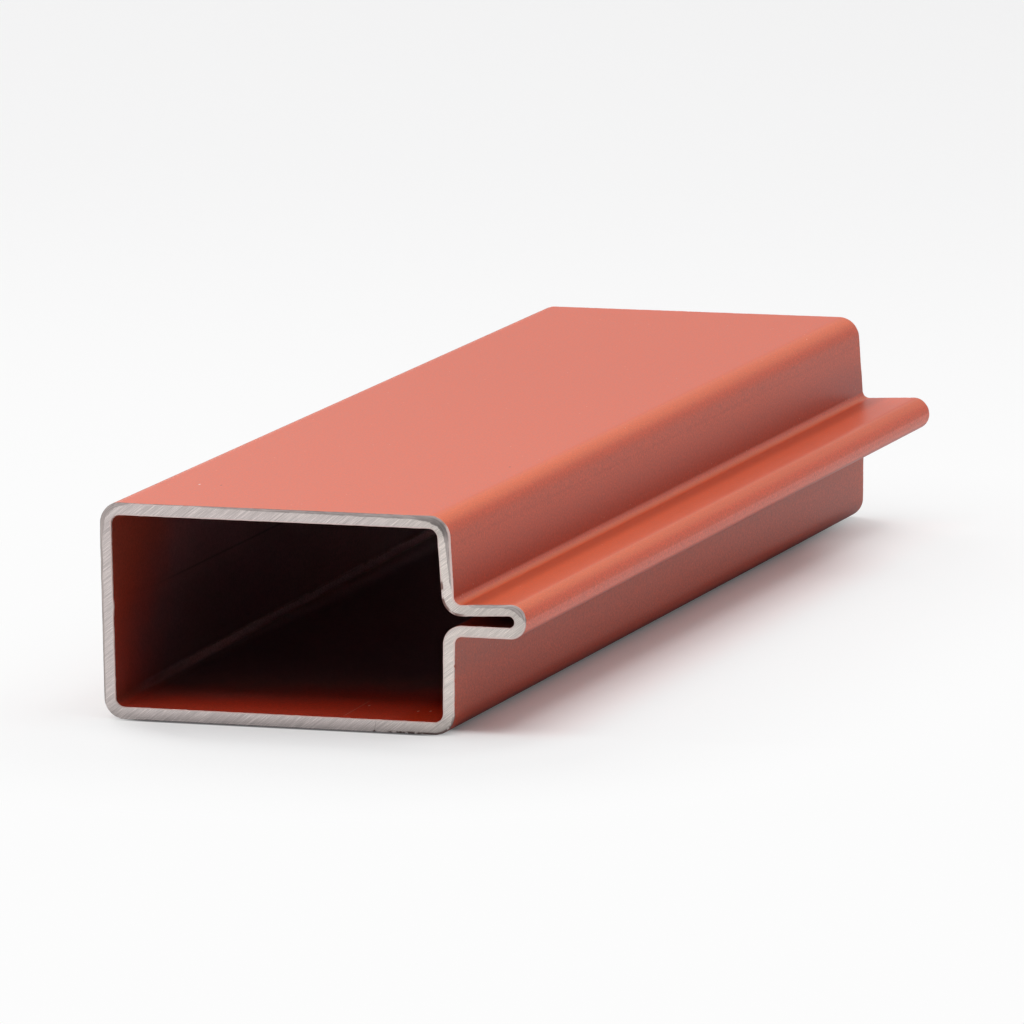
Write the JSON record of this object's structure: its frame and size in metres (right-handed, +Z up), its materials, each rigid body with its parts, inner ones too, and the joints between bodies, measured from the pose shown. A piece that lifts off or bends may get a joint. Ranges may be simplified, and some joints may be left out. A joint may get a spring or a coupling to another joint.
{
  "type": "painted steel profile tube",
  "caption": "Rectangular steel tube in red oxide primer with a folded fin along its side, open at both sawn ends, for welded door, window and gate frames.",
  "frame": {"origin": "on the resting face, midway along the tube and midway across its width with the fin left out", "axes": "+Y along the tube, +X from the back wall towards the fin, +Z up from the resting face"},
  "size_m": [0.072, 0.2, 0.035],
  "materials": {
    "primer": "satin red oxide primer, bare steel on the two sawn ends"
  },
  "bodies": {
    "root": {"finned_tube": "primer"}
  },
  "joints": []
}
